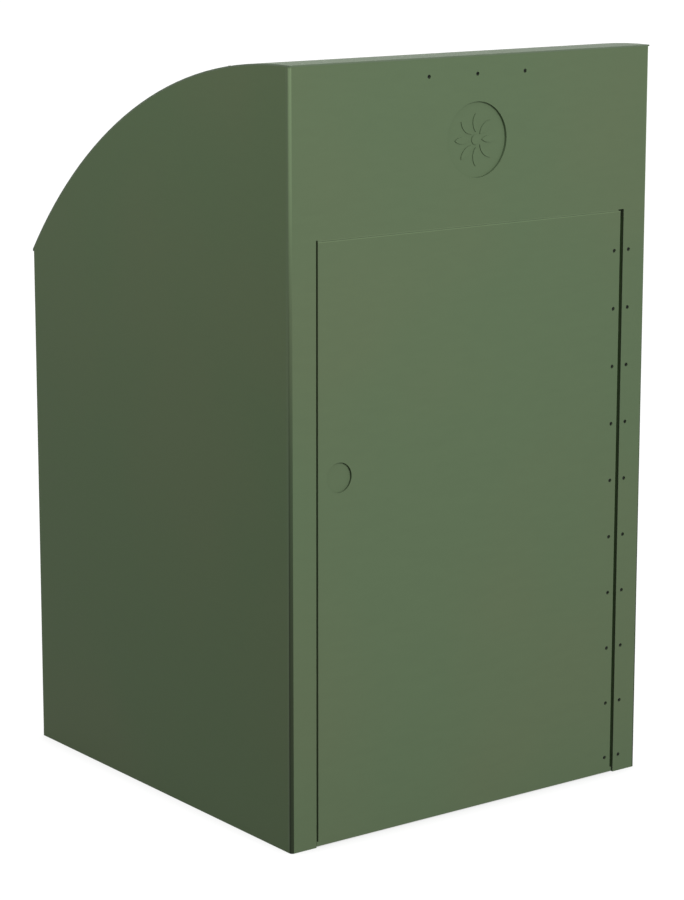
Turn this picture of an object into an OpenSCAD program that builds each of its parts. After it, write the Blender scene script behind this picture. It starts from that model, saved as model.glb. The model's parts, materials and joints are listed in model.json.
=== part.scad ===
// Enclosure for a wheeled bin: plastic panels, a bent sheet roof and a full-height door on a long hinge.
// Pieces are drawn from the cabinet's front left foot, X along the front, Y into the depth and Z up.
// place() then moves each one, so that the origin lies on the ground under the middle of the whole.

/* [Cabinet] */
// Width over the side panels
cabinet_w = 900; // [860:5:960]
// Depth from the front face to the rear face
cabinet_d = 940; // [880:5:1000]
// Height to the crown of the roof
cabinet_h = 1533.5; // [1490:0.5:1590]
// Thickness of the front, side, rear and door panels
panel_t = 12; // [10:0.5:15]
// Rounding of the cabinet's four outer upright edges
edge_round = 6; // [2:0.5:9]
// Width of the square posts and battens inside
batten_w = 20; // [16:1:24]

/* [Roof] */
// Radius of the roof's outer surface
roof_radius = 1165; // [1110:1:1290]
// Thickness of the roof sheet
roof_t = 3; // [2:0.5:5]
// Distance of the crown behind the front face
crown_setback = 19; // [0:1:60]
// Depth of the batten under the eaves
eaves_batten_d = 25; // [18:1:35]
// Drop of the eaves batten below the roof at the rear panel
eaves_drop = 30; // [20:1:60]

/* [Doorway] */
// Height of the doorway
doorway_h = 1202; // [1175:1:1225]
// Width of the front panel beside the door's free edge
left_jamb_w = 60.5; // [50:0.5:80]
// Width of the front panel beside the hinge
right_jamb_w = 61; // [56:0.1:75]
// Gap between the door's free edge and its jamb
side_gap = 4.5; // [3:0.1:6]
// Gap over the door
top_gap = 3; // [3:0.5:8]
// Gap under the door
floor_gap = 2.5; // [2:0.1:6]
// Height of the full-width foot of the door
door_foot_h = 9; // [6:0.5:12]
// Gap between that foot and the left jamb
door_foot_gap = 0.7; // [0.6:0.1:2]

/* [Roundel] */
// Diameter of the sunk roundel over the doorway
roundel_d = 149.5; // [110:0.5:180]
// Depth of its floor
roundel_depth = 6; // [3:0.5:8]
// Drop of its centre below the crown
roundel_drop = 165.5; // [130:0.5:200]
// Height of the rosette over that floor
rosette_relief = 2; // [1:0.5:5]
// Reach of the petals from the centre
rosette_reach = 52; // [35:1:60]
// Distance from the centre at which the petals begin
petal_start = 15; // [12:1:22]
// Width of a petal
petal_w = 14; // [8:1:16]
// Number of petals
petals = 8; // [5:1:10]

/* [Finger pull] */
// Diameter of the pull's mouth
pull_d = 60; // [45:1:80]
// Depth of the pull
pull_depth = 5; // [4:0.5:8]
// Thickness of the lip that the fingers hook behind
pull_lip_t = 2.5; // [1.5:0.5:3.5]
// Reach of the hollow behind the lip
pull_undercut = 4; // [2:0.5:8]
// Distance of its centre from the door's free edge
pull_inset = 50.3; // [46:0.1:80]
// Height of its centre over the ground
pull_z = 737.5; // [650:0.5:900]

/* [Hinge] */
// Width of the slot between the door and its hinge jamb
hinge_slot_w = 8.9; // [8.8:0.1:12]
// Depth of the pin's axis behind the front face
pin_depth = 3.8; // [3.6:0.1:4.2]
// Diameter of the hinge pin
pin_d = 3.2; // [2.6:0.1:3.6]
// Radial clearance of the pin in the knuckles
pin_fit = 0.05; // [0.02:0.01:0.1]
// Thickness of the leaves
leaf_t = 1.5; // [1.2:0.1:1.8]
// Reach of a leaf from the pin's axis
leaf_reach = 28; // [25:0.5:30]
// Number of knuckles, half of them on each leaf
knuckles = 20; // [8:2:30]
// Axial gap between two knuckles
knuckle_gap = 0.3; // [0.2:0.1:1]
// Diameter of the pin's head
pin_head_d = 5; // [4:0.2:6]
// Height of the pin's head
pin_head_h = 1.6; // [1:0.1:2]
// Distance of the bolt rows from the pin's axis
hinge_bolt_offset = 19.4; // [18:0.1:21]
// Height of the lowest row of hinge bolts
hinge_bolt_start = 35.3; // [30:0.1:60]
// Pitch of the hinge bolts
hinge_bolt_pitch = 120.3; // [90:0.1:160]

/* [Bolts and screws] */
// Diameter of a bolt
bolt_d = 4; // [3:0.5:5]
// Diameter of a bolt's head
bolt_head_d = 7; // [6:0.1:7.6]
// Height of a bolt's head
bolt_head_h = 4; // [3:0.1:5]
// Width across the corners of the hexagon socket
socket_d = 3.5; // [2.5:0.1:4]
// Depth of the socket
socket_depth = 2; // [1:0.1:2.5]
// Diameter of the sunk seat of a bolt
seat_d = 8; // [7.8:0.1:10]
// Depth of that seat
seat_depth = 6; // [5:0.5:7]
// Width of a nut across its flats
nut_w = 7; // [6.5:0.1:8]
// Height of a nut
nut_h = 5; // [3:0.1:6]
// Length of thread past a nut
bolt_tail = 1; // [0.5:0.1:3]
// Diameter of a wood screw
screw_d = 4; // [3:0.5:5]
// Diameter of a wood screw's head
screw_head_d = 7; // [6:0.1:8]
// Height of a wood screw's head
screw_head_h = 2.5; // [1.5:0.1:3]
// Length of a wood screw inside the panel that it bites into
screw_bite = 8; // [5:0.5:9]
// Length of a roof screw inside its batten
roof_screw_bite = 15; // [10:1:18]
// Pitch of the screws along the posts and the left stop
screw_pitch = 320; // [200:10:400]
// Number of screws along the top stop
top_stop_screws = 4; // [2:1:5]
// Pitch of the screws along the top stop
top_stop_pitch = 200; // [120:10:230]
// Number of screws along each side batten; the roof's own screws lie midway between them
side_batten_screws = 5; // [3:1:8]
// Number of screws through the roof into the eaves batten
roof_eaves_screws = 5; // [3:1:6]
// Pitch of the screws along the eaves batten
eaves_screw_pitch = 160; // [100:10:190]
// Number of bolts over the roundel
header_bolts = 3; // [1:2:5]
// Pitch of those bolts
header_bolt_pitch = 120.3; // [80:0.1:140]
// Drop of those bolts below the crown
header_drop = 37; // [35:1:50]
// Length of a header bolt inside its batten
header_bolt_bite = 16; // [10:1:18]

/* [Door stops and catches] */
// Thickness of the stop strips
stop_t = 15; // [12:1:20]
// Lap of a stop strip over the door's edge
stop_lap = 10; // [9:0.5:14]
// Height of the top stop over the doorway
stop_seat = 20; // [14:1:30]
// Distance from the hinge jamb to the end of the top stop
stop_end_gap = 14.1; // [12:0.1:20]
// Depth of the stop's rain lip behind the front face
rain_lip_inset = 0.2; // [0.1:0.1:8]
// Clearance of the rain lip over the door
rain_lip_gap = 0.5; // [0.3:0.1:2]
// Thickness of the rubber buffers, and depth of the rebate that holds them
buffer_t = 2; // [1.5:0.1:3]
// Diameter of a buffer
buffer_d = 8; // [6:0.5:9]
// Height of the lower catch
catch_low_z = 350; // [200:5:500]
// Height of the upper catch
catch_high_z = 1000; // [850:5:1100]
// Width of a catch housing
catch_w = 18; // [14:0.5:22]
// Depth of a catch housing
catch_d = 16; // [14:0.5:20]
// Height of a catch housing
catch_h = 44; // [36:1:56]
// Thickness of the steel strike plates and pole plates
plate_t = 1.5; // [1:0.1:2]
// Reach of the pole plates past the housing
pole_reach = 1.5; // [1:0.1:3]
// Depth of the pole plates inside the housing
pole_seat = 8; // [5:0.5:9]
// Distance of each pole plate from the housing's middle
pole_offset = 4; // [3:0.5:5]
// Height of the pole plates
pole_h = 34; // [24:1:35]
// Reach of a strike plate past each end of the housing
strike_ear = 13; // [10:1:16]
// Diameter of the small screws of catches and strikes
small_screw_d = 3; // [2:0.5:3.5]
// Diameter of a small screw's head
small_head_d = 5.6; // [4.5:0.1:6]
// Height of a small screw's head
small_head_h = 1.8; // [1:0.1:2]

/* [Door rails] */
// Width of the rails that stiffen the door
door_rail_w = 60; // [40:1:90]
// Thickness of those rails
door_rail_t = 15; // [12:1:20]
// Distance of a rail's end from the door's free edge
door_rail_inset = 44; // [40:1:80]
// Clearance between the rails and the hinge leaf
door_rail_clear = 10; // [2:0.5:30]
// Height of the bottom rail's middle
door_rail_low = 90; // [60:1:150]
// Drop of the top rail's middle below the door's top
door_rail_drop = 73; // [50:1:150]
// Number of screws in each rail
rail_screws = 4; // [2:1:5]
// Pitch of the rail screws
door_rail_pitch = 190; // [120:5:200]

/* [Ground anchors] */
// Width of each leg of the anchor rails
anchor_leg = 40; // [30:1:50]
// Thickness of the anchor rails
anchor_t = 3; // [2:0.5:4]
// Diameter of the anchor holes
anchor_hole_d = 11; // [8:0.5:14]
// Distance between two anchor holes of a rail
anchor_pitch = 600; // [400:10:700]
// Distance of an anchor rail's end screws from its ends
anchor_screw_inset = 45; // [20:5:100]

/* [Hidden] */
$fn = 48;
green = [0.369, 0.431, 0.329];
inner_green = [0.30, 0.36, 0.27];
black = [0.10, 0.11, 0.10];
zinc = [0.66, 0.67, 0.68];
steel = [0.50, 0.51, 0.52];
rubber = [0.07, 0.07, 0.07];

// Clearances and margins
cut = 1;
piece_gap = 2;
screw_fit = 0.05;
bolt_fit = 0.2;
tip_l = 3;
tip_d = 1;
row_start = 120;
row_margin = 40;
row_stagger = 30;
hinge_clear = 2.2;
door_foot_clear = 0.5;
pole_screw_gap = 2;

// Where the cabinet stands round the origin
left_x = -cabinet_w / 2;
front_y = -cabinet_d / 2;

// The roof is part of a drum that lies along X
drum_z = cabinet_h - roof_radius;
drum_inner_r = roof_radius - roof_t;
batten_under_r = drum_inner_r - batten_w;
function under_drum(r, y) = drum_z + sqrt(r * r - (y - crown_setback) * (y - crown_setback));

// Inner faces of the cabinet
inner_l = panel_t;
inner_r = cabinet_w - panel_t;
inner_back = cabinet_d - panel_t;
middle_x = cabinet_w / 2;
middle_y = cabinet_d / 2;

// Door and hinge
door_l = left_jamb_w + side_gap;
jamb_r = cabinet_w - right_jamb_w;
door_r = jamb_r - hinge_slot_w;
door_top = doorway_h - top_gap;
hinge_x = jamb_r - hinge_slot_w / 2;
half_slot = hinge_slot_w / 2;
knuckle_bore_r = pin_d / 2 + pin_fit;
knuckle_r = knuckle_bore_r + leaf_t;
hinge_low = floor_gap + door_foot_h + hinge_clear;
hinge_high = door_top - stop_lap - hinge_clear - pin_head_h;
knuckle_pitch = (hinge_high - hinge_low) / knuckles;
leaf_back = panel_t - pin_depth;
hinge_bolt_span = hinge_high - hinge_bolt_start - nut_w;
hinge_bolt_l = panel_t - seat_depth + leaf_t + nut_h + bolt_tail;
hinge_rows = [for (z = [hinge_bolt_start : hinge_bolt_pitch : hinge_bolt_start + hinge_bolt_span]) z];

// Posts: the one beside the hinge leaf takes what width the leaf leaves
hinge_post_l = hinge_x + leaf_reach + piece_gap;
hinge_post_w = inner_r - hinge_post_l;
rear_post_h = under_drum(batten_under_r, inner_back);
front_rows_top = cabinet_h - header_drop - batten_w - row_stagger;
function rows(top) = [for (z = [row_start : screw_pitch : top]) z];
function spread(count, pitch) = [for (i = [0 : count - 1]) (i - (count - 1) / 2) * pitch];

// Stop strips and catches; the strips leave room for the heads of the post's screws
post_r = inner_l + batten_w;
stop_l = post_r + screw_head_h + piece_gap;
stop_r = door_l + stop_lap;
stop_back = panel_t + stop_t;
top_stop_end = jamb_r - stop_end_gap;
top_stop_low = door_top - stop_lap;
rain_lip_low = door_top + rain_lip_gap;
left_stop_x = (stop_l + left_jamb_w) / 2;
top_stop_x = (stop_l + top_stop_end) / 2;
left_buffers = [row_start, (row_start + top_stop_low) / 2, top_stop_low - row_start];
catch_front = panel_t + plate_t + pole_reach;
catch_x = stop_r + catch_w / 2;
catch_heights = [catch_low_z, catch_high_z];
catch_screw_y = catch_front + pole_seat + pole_screw_gap + small_screw_d / 2;
catch_screw_z = catch_h / 4;
strike_h = catch_h + 2 * strike_ear;
strike_screw_z = catch_h / 2 + strike_ear / 2;

// Door rails
door_rail_l = door_l + door_rail_inset;
door_rail_r = hinge_x - leaf_reach - door_rail_clear;
door_rail_x = (door_rail_l + door_rail_r) / 2;
door_rail_high = door_top - door_rail_drop;
door_rail_heights = [door_rail_low, (door_rail_low + door_rail_high) / 2, door_rail_high];

// Anchor rails
anchor_l = batten_w + piece_gap;
anchor_screw_z = anchor_t + (anchor_leg - anchor_t) / 2;
anchor_hole_x = anchor_t + (anchor_leg - anchor_t) / 2;
side_rail_l = cabinet_d - 2 * panel_t - 2 * anchor_l;
rear_rail_l = cabinet_w - 2 * panel_t - 2 * (anchor_leg + piece_gap);
function anchor_screws(length) = [for (i = [-1 : 1]) i * (length / 2 - anchor_screw_inset)];

// Fixings on the roof's curve, as angles from the crown
function curve_angle(r, y) = asin((y - crown_setback) / r);
batten_mid_r = drum_inner_r - batten_w / 2;
side_first = curve_angle(batten_mid_r, row_start);
side_last = curve_angle(batten_mid_r, inner_back - eaves_batten_d - row_margin);
side_step = (side_last - side_first) / (side_batten_screws - 1);
eaves_angle = curve_angle(drum_inner_r - roof_screw_bite / 2, inner_back - eaves_batten_d / 2);
eaves_low = under_drum(drum_inner_r, inner_back) - eaves_drop;
eaves_screw_z = eaves_low + screw_head_d / 2 + piece_gap;

// Shared shapes

module place() {
    translate([left_x, front_y, 0]) children();
}

// A drum along X, round the roof's axis
module drum(r, reach) {
    translate([-reach, crown_setback, drum_z])
        rotate([0, 90, 0])
            cylinder(r = r, h = cabinet_w + 2 * reach, $fn = 360);
}

// All that lies over a drum, which trims the panels and posts below the roof
module over_drum(r) {
    difference() {
        translate([-cut, -cut, drum_z])
            cube([cabinet_w + 2 * cut, cabinet_d + 2 * cut, roof_radius + cut]);
        drum(r, 2 * cut);
    }
}

// Puts its children on the roof's curve, with Z pointing out of it
module on_curve(x, angle, r) {
    translate([x, crown_setback, drum_z])
        rotate([-angle, 0, 0])
            translate([0, 0, r])
                children();
}

module facing_front() {
    rotate([90, 0, 0]) children();
}

module facing_back() {
    rotate([-90, 0, 0]) children();
}

module facing_right() {
    rotate([0, 90, 0]) children();
}

module facing_left() {
    rotate([0, -90, 0]) children();
}

// Mirrors its children to the right side of the cabinet
module on_right() {
    translate([cabinet_w, 0, 0]) mirror([1, 0, 0]) children();
}

// Fasteners: the head's seat lies at the origin, the head above it and the shank below

module pan_screw(length, shank_d, head_d, head_h) {
    difference() {
        cylinder(d = head_d, h = head_h);
        translate([0, 0, head_h / 2])
            cylinder(d = head_d / 2, h = head_h, $fn = 6);
    }
    translate([0, 0, tip_l - length]) cylinder(d = shank_d, h = length - tip_l);
    translate([0, 0, -length]) cylinder(d1 = tip_d, d2 = shank_d, h = tip_l);
}

module screw_bore(length, shank_d) {
    translate([0, 0, -length - screw_fit])
        cylinder(d = shank_d + 2 * screw_fit, h = length + screw_fit + cut);
}

// A wood screw through a piece of the given grip, or the bore that it needs
module wood_screw(grip, bore) {
    if (bore) screw_bore(grip + screw_bite, screw_d);
    else pan_screw(grip + screw_bite, screw_d, screw_head_d, screw_head_h);
}

module small_screw(length, bore) {
    if (bore) screw_bore(length, small_screw_d);
    else pan_screw(length, small_screw_d, small_head_d, small_head_h);
}

module bolt(length) {
    difference() {
        cylinder(d = bolt_head_d, h = bolt_head_h);
        translate([0, 0, bolt_head_h - socket_depth])
            cylinder(d = socket_d, h = socket_depth + cut, $fn = 6);
    }
    translate([0, 0, -length]) cylinder(d = bolt_d, h = length);
}

module bolt_bore(length) {
    translate([0, 0, -length]) cylinder(d = bolt_d + 2 * bolt_fit, h = length);
}

module bolt_seat() {
    cylinder(d = seat_d, h = seat_depth + cut);
}

module nut() {
    difference() {
        cylinder(d = nut_w / cos(30), h = nut_h, $fn = 6);
        translate([0, 0, -cut]) cylinder(d = bolt_d + 2 * screw_fit, h = nut_h + 2 * cut);
    }
}

// Rows of fixings, drawn as screws or as the bores for them

module front_post_fixings(bore) {
    for (z = rows(front_rows_top)) {
        translate([inner_l + batten_w / 2, panel_t + batten_w, z])
            facing_back() wood_screw(batten_w, bore);
        translate([inner_l + batten_w, panel_t + batten_w / 2, z + row_stagger])
            facing_right() wood_screw(batten_w, bore);
        translate([hinge_post_l + hinge_post_w / 2, panel_t + batten_w, z])
            facing_back() wood_screw(batten_w, bore);
        translate([hinge_post_l, panel_t + batten_w / 2, z + row_stagger])
            facing_left() wood_screw(hinge_post_w, bore);
    }
}

module rear_post_fixings(bore) {
    for (z = rows(rear_post_h - row_margin)) {
        translate([inner_l + batten_w / 2, inner_back - batten_w, z])
            facing_front() wood_screw(batten_w, bore);
        translate([inner_l + batten_w, inner_back - batten_w / 2, z + row_stagger])
            facing_right() wood_screw(batten_w, bore);
        translate([inner_r - batten_w / 2, inner_back - batten_w, z])
            facing_front() wood_screw(batten_w, bore);
        translate([inner_r - batten_w, inner_back - batten_w / 2, z + row_stagger])
            facing_left() wood_screw(batten_w, bore);
    }
}

module roof_batten_fixings(bore) {
    for (i = [0 : side_batten_screws - 1]) {
        on_curve(inner_l + batten_w, side_first + i * side_step, batten_mid_r)
            facing_right() wood_screw(batten_w, bore);
        on_curve(inner_r - batten_w, side_first + i * side_step, batten_mid_r)
            facing_left() wood_screw(batten_w, bore);
    }
}

module roof_fixing(bore) {
    length = roof_t + roof_screw_bite;
    if (bore) screw_bore(length, screw_d);
    else pan_screw(length, screw_d, screw_head_d, screw_head_h);
}

module roof_side_fixings(bore) {
    for (x = [inner_l + batten_w / 2, inner_r - batten_w / 2])
        for (i = [0 : side_batten_screws - 2])
            on_curve(x, side_first + (i + 0.5) * side_step, roof_radius) roof_fixing(bore);
}

module roof_eaves_fixings(bore) {
    for (x = spread(roof_eaves_screws, eaves_screw_pitch))
        on_curve(middle_x + x, eaves_angle, roof_radius) roof_fixing(bore);
}

module eaves_batten_fixings(bore) {
    for (x = spread(roof_eaves_screws - 1, eaves_screw_pitch))
        translate([middle_x + x, inner_back - eaves_batten_d, eaves_screw_z])
            facing_front() wood_screw(eaves_batten_d, bore);
}

module left_stop_fixings(bore) {
    for (z = rows(top_stop_low - row_margin))
        translate([left_stop_x, stop_back, z]) facing_back() wood_screw(stop_t, bore);
}

module top_stop_fixings(bore) {
    for (x = spread(top_stop_screws, top_stop_pitch))
        translate([top_stop_x + x, stop_back, doorway_h + stop_seat / 2])
            facing_back() wood_screw(stop_t, bore);
}

module side_rail_fixings(bore) {
    for (y = anchor_screws(side_rail_l))
        translate([inner_l + anchor_t, middle_y + y, anchor_screw_z])
            facing_right() wood_screw(anchor_t, bore);
}

module rear_rail_fixings(bore) {
    for (x = anchor_screws(rear_rail_l))
        translate([middle_x + x, inner_back - anchor_t, anchor_screw_z])
            facing_front() wood_screw(anchor_t, bore);
}

module door_rail_fixings(bore) {
    for (z = door_rail_heights)
        for (x = spread(rail_screws, door_rail_pitch))
            translate([door_rail_x + x, panel_t + door_rail_t, z])
                facing_back() wood_screw(door_rail_t, bore);
}

module strike_fixings(bore) {
    for (z = catch_heights)
        for (side = [-1, 1])
            translate([catch_x, panel_t + plate_t, z + side * strike_screw_z])
                facing_back() small_screw(plate_t + screw_bite, bore);
}

module catch_fixings(bore) {
    for (z = catch_heights)
        for (side = [-1, 1])
            translate([stop_r + catch_w, catch_screw_y, z + side * catch_screw_z])
                facing_right() small_screw(catch_w + screw_bite, bore);
}

// Puts its children at the seats of the header bolts, facing the front
module at_header_bolts() {
    for (x = spread(header_bolts, header_bolt_pitch))
        translate([middle_x + x, seat_depth, cabinet_h - header_drop])
            facing_front() children();
}

// Puts its children at the hinge bolts' seats; side is -1 on the door and 1 on the jamb
module at_hinge_bolts(side) {
    for (z = hinge_rows)
        translate([hinge_x + side * hinge_bolt_offset, seat_depth, z])
            facing_front() children();
}

// Panels

module front_outline() {
    translate([edge_round, 0]) square([cabinet_w - 2 * edge_round, panel_t]);
    translate([0, edge_round]) square([cabinet_w, panel_t - edge_round]);
    translate([edge_round, edge_round]) circle(r = edge_round);
    translate([cabinet_w - edge_round, edge_round]) circle(r = edge_round);
}

// A petal is the lens where two equal circles meet
module petal() {
    length = rosette_reach - petal_start;
    bow = (length * length / 4 + petal_w * petal_w / 4) / petal_w;
    translate([0, petal_start + length / 2, 0])
        intersection() {
            translate([bow - petal_w / 2, 0, 0]) cylinder(r = bow, h = rosette_relief + cut);
            translate([petal_w / 2 - bow, 0, 0]) cylinder(r = bow, h = rosette_relief + cut);
        }
}

// What is routed out of the front panel for the roundel; Z points out of the face, from its floor
module roundel_cut() {
    difference() {
        cylinder(d = roundel_d, h = roundel_depth + cut, $fn = 96);
        translate([0, 0, -cut]) {
            for (i = [0 : petals - 1]) rotate([0, 0, i * 360 / petals]) petal();
            cylinder(r = petal_start - petal_w / 2 + piece_gap, h = rosette_relief + cut);
        }
    }
}

module front_panel() {
    color(green) place()
        difference() {
            linear_extrude(cabinet_h) front_outline();
            over_drum(drum_inner_r);
            translate([left_jamb_w, -cut, -cut])
                cube([jamb_r - left_jamb_w, panel_t + 2 * cut, doorway_h + cut]);
            translate([middle_x, roundel_depth, cabinet_h - roundel_drop]) facing_front() roundel_cut();
            at_header_bolts() {
                bolt_seat();
                bolt_bore(panel_t);
            }
            at_hinge_bolts(1) {
                bolt_seat();
                bolt_bore(panel_t);
            }
            front_post_fixings(true);
            left_stop_fixings(true);
            top_stop_fixings(true);
        }
}

// The left side panel's plan, with its outer rear corner rounded
module side_outline() {
    translate([0, panel_t]) square([panel_t, cabinet_d - panel_t - edge_round]);
    translate([edge_round, panel_t]) square([panel_t - edge_round, cabinet_d - panel_t]);
    translate([edge_round, cabinet_d - edge_round]) circle(r = edge_round);
}

// A side panel of the plan that it is given
module side_panel() {
    difference() {
        linear_extrude(cabinet_h) children();
        over_drum(drum_inner_r);
        front_post_fixings(true);
        rear_post_fixings(true);
        roof_batten_fixings(true);
        side_rail_fixings(true);
        on_right() side_rail_fixings(true);
    }
}

module left_side_panel() {
    color(green) place() side_panel() side_outline();
}

module right_side_panel() {
    color(green) place() side_panel() on_right() side_outline();
}

module rear_panel() {
    color(green) place()
        difference() {
            translate([inner_l, inner_back, 0]) cube([inner_r - inner_l, panel_t, cabinet_h]);
            over_drum(drum_inner_r);
            rear_post_fixings(true);
            eaves_batten_fixings(true);
            rear_rail_fixings(true);
        }
}

module roof_sheet() {
    color(green) place()
        difference() {
            intersection() {
                drum(roof_radius, cut);
                translate([0, 0, drum_z]) cube([cabinet_w, cabinet_d, roof_radius + cut]);
            }
            drum(drum_inner_r, 2 * cut);
            roof_side_fixings(true);
            roof_eaves_fixings(true);
        }
}

// Posts and battens

module post(x, y, width) {
    difference() {
        translate([x, y, 0]) cube([width, batten_w, cabinet_h]);
        over_drum(batten_under_r);
        front_post_fixings(true);
        rear_post_fixings(true);
    }
}

module front_left_post() {
    color(inner_green) place() post(inner_l, panel_t, batten_w);
}

module front_right_post() {
    color(inner_green) place() post(hinge_post_l, panel_t, hinge_post_w);
}

module rear_left_post() {
    color(inner_green) place() post(inner_l, inner_back - batten_w, batten_w);
}

module rear_right_post() {
    color(inner_green) place() post(inner_r - batten_w, inner_back - batten_w, batten_w);
}

module header_batten() {
    right = inner_r - max(batten_w, hinge_post_w);
    color(inner_green) place()
        difference() {
            translate([post_r, panel_t, cabinet_h - header_drop - batten_w / 2])
                cube([right - post_r, batten_w, batten_w]);
            at_header_bolts() bolt_bore(panel_t - seat_depth + header_bolt_bite + bolt_fit);
            front_post_fixings(true);
        }
}

module roof_batten(x) {
    difference() {
        intersection() {
            drum(drum_inner_r, cut);
            translate([x, panel_t, drum_z]) cube([batten_w, inner_back - panel_t, roof_radius]);
        }
        drum(batten_under_r, 2 * cut);
        roof_batten_fixings(true);
        roof_side_fixings(true);
    }
}

module left_roof_batten() {
    color(inner_green) place() roof_batten(inner_l);
}

module right_roof_batten() {
    color(inner_green) place() roof_batten(inner_r - batten_w);
}

module eaves_batten() {
    color(inner_green) place()
        difference() {
            translate([post_r, inner_back - eaves_batten_d, eaves_low])
                cube([inner_r - batten_w - post_r, eaves_batten_d, cabinet_h - eaves_low]);
            over_drum(drum_inner_r);
            eaves_batten_fixings(true);
            roof_eaves_fixings(true);
        }
}

// Door stops, with a shallow rebate behind the door for the rubber buffers

module left_door_stop() {
    color(green) place()
        difference() {
            translate([stop_l, panel_t, 0]) cube([stop_r - stop_l, stop_t, top_stop_low]);
            translate([left_jamb_w, panel_t - cut, -cut])
                cube([stop_r - left_jamb_w + cut, buffer_t + cut, top_stop_low + 2 * cut]);
            left_stop_fixings(true);
            catch_fixings(true);
        }
}

module top_door_stop() {
    color(green) place()
        difference() {
            union() {
                translate([stop_l, panel_t, top_stop_low])
                    cube([top_stop_end - stop_l, stop_t, doorway_h + stop_seat - top_stop_low]);
                translate([door_l, rain_lip_inset, rain_lip_low])
                    cube([top_stop_end - door_l, panel_t, doorway_h - rain_lip_low]);
            }
            translate([left_jamb_w, panel_t - cut, top_stop_low - cut])
                cube([
                    top_stop_end - left_jamb_w + cut,
                    buffer_t + cut,
                    rain_lip_low - top_stop_low + cut
                ]);
            top_stop_fixings(true);
        }
}

// Anchor rails: steel angles along the foot of three walls

module side_anchor_rail() {
    difference() {
        translate([inner_l, panel_t + anchor_l, 0]) {
            cube([anchor_leg, side_rail_l, anchor_t]);
            cube([anchor_t, side_rail_l, anchor_leg]);
        }
        for (side = [-1, 1])
            translate([inner_l + anchor_hole_x, middle_y + side * anchor_pitch / 2, -cut])
                cylinder(d = anchor_hole_d, h = anchor_t + 2 * cut);
        side_rail_fixings(true);
    }
}

module left_anchor_rail() {
    color(zinc) place() side_anchor_rail();
}

module right_anchor_rail() {
    color(zinc) place() on_right() side_anchor_rail();
}

module rear_anchor_rail() {
    color(zinc) place()
        difference() {
            translate([inner_l + anchor_leg + piece_gap, 0, 0]) {
                translate([0, inner_back - anchor_leg, 0]) cube([rear_rail_l, anchor_leg, anchor_t]);
                translate([0, inner_back - anchor_t, 0]) cube([rear_rail_l, anchor_t, anchor_leg]);
            }
            rear_rail_fixings(true);
        }
}

// Screws of the cabinet

module post_screws() {
    color(zinc) place() {
        front_post_fixings(false);
        rear_post_fixings(false);
    }
}

module roof_batten_screws() {
    color(zinc) place() roof_batten_fixings(false);
}

module roof_screws() {
    color(green) place() {
        roof_side_fixings(false);
        roof_eaves_fixings(false);
    }
}

module eaves_batten_screws() {
    color(zinc) place() eaves_batten_fixings(false);
}

module header_bolts_set() {
    color(black) place() at_header_bolts() bolt(panel_t - seat_depth + header_bolt_bite);
}

module stop_screws() {
    color(zinc) place() {
        left_stop_fixings(false);
        top_stop_fixings(false);
    }
}

module anchor_rail_screws() {
    color(zinc) place() {
        side_rail_fixings(false);
        on_right() side_rail_fixings(false);
        rear_rail_fixings(false);
    }
}

// Buffers and magnetic catches

module door_buffers() {
    color(rubber) place() {
        for (z = left_buffers)
            translate([door_l + stop_lap / 2, panel_t, z])
                facing_back() cylinder(d = buffer_d, h = buffer_t);
        for (x = [door_l + (top_stop_end - door_l) / 4, door_l + 3 * (top_stop_end - door_l) / 4])
            translate([x, panel_t, door_top - stop_lap / 2])
                facing_back() cylinder(d = buffer_d, h = buffer_t);
    }
}

module catch_pole_plates(clearance) {
    for (z = catch_heights)
        for (side = [-1, 1])
            translate([
                catch_x + side * pole_offset - plate_t / 2 - clearance,
                panel_t + plate_t,
                z - pole_h / 2 - clearance
            ])
                cube([plate_t + 2 * clearance, pole_reach + pole_seat, pole_h + 2 * clearance]);
}

module catch_housings() {
    color(black) place()
        difference() {
            for (z = catch_heights)
                translate([stop_r, catch_front, z - catch_h / 2]) cube([catch_w, catch_d, catch_h]);
            catch_pole_plates(screw_fit);
            catch_fixings(true);
        }
}

module catch_poles() {
    color(steel) place() catch_pole_plates(0);
}

module catch_screws() {
    color(zinc) place() catch_fixings(false);
}

// Hinge: each leaf runs back along its panel's edge and then lies on the panel's inner face

module leaf_outline(side) {
    inner = min(side * (half_slot - leaf_t), side * half_slot);
    flange = min(side * (half_slot - leaf_t), side * leaf_reach);
    translate([inner, knuckle_r - leaf_t]) square([leaf_t, leaf_back + 2 * leaf_t - knuckle_r]);
    translate([flange, leaf_back]) square([leaf_reach - half_slot + leaf_t, leaf_t]);
}

module knuckle_outline(side) {
    difference() {
        union() {
            circle(r = knuckle_r);
            translate([min(0, side * half_slot), knuckle_r - leaf_t]) square([half_slot, leaf_t]);
        }
        circle(r = knuckle_bore_r);
    }
}

// Knuckles with an odd number belong to the door, the others to the jamb
module hinge_leaf(side) {
    first = side < 0 ? 1 : 0;
    translate([hinge_x, pin_depth, 0])
        difference() {
            union() {
                translate([0, 0, hinge_low])
                    linear_extrude(hinge_high - hinge_low) leaf_outline(side);
                for (i = [first : 2 : knuckles - 1])
                    translate([0, 0, hinge_low + i * knuckle_pitch + knuckle_gap / 2])
                        linear_extrude(knuckle_pitch - knuckle_gap) knuckle_outline(side);
            }
            for (i = [1 - first : 2 : knuckles - 1])
                translate([0, 0, hinge_low + i * knuckle_pitch - knuckle_gap / 2])
                    cylinder(r = knuckle_r + knuckle_gap, h = knuckle_pitch + knuckle_gap);
            translate([0, -pin_depth, 0])
                for (z = hinge_rows)
                    translate([side * hinge_bolt_offset, panel_t + leaf_t + cut, z])
                        facing_back() bolt_bore(leaf_t + 2 * cut);
        }
}

module hinge_leaf_jamb() {
    color(black) place() hinge_leaf(1);
}

module hinge_leaf_door() {
    color(black) place() hinge_leaf(-1);
}

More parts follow.
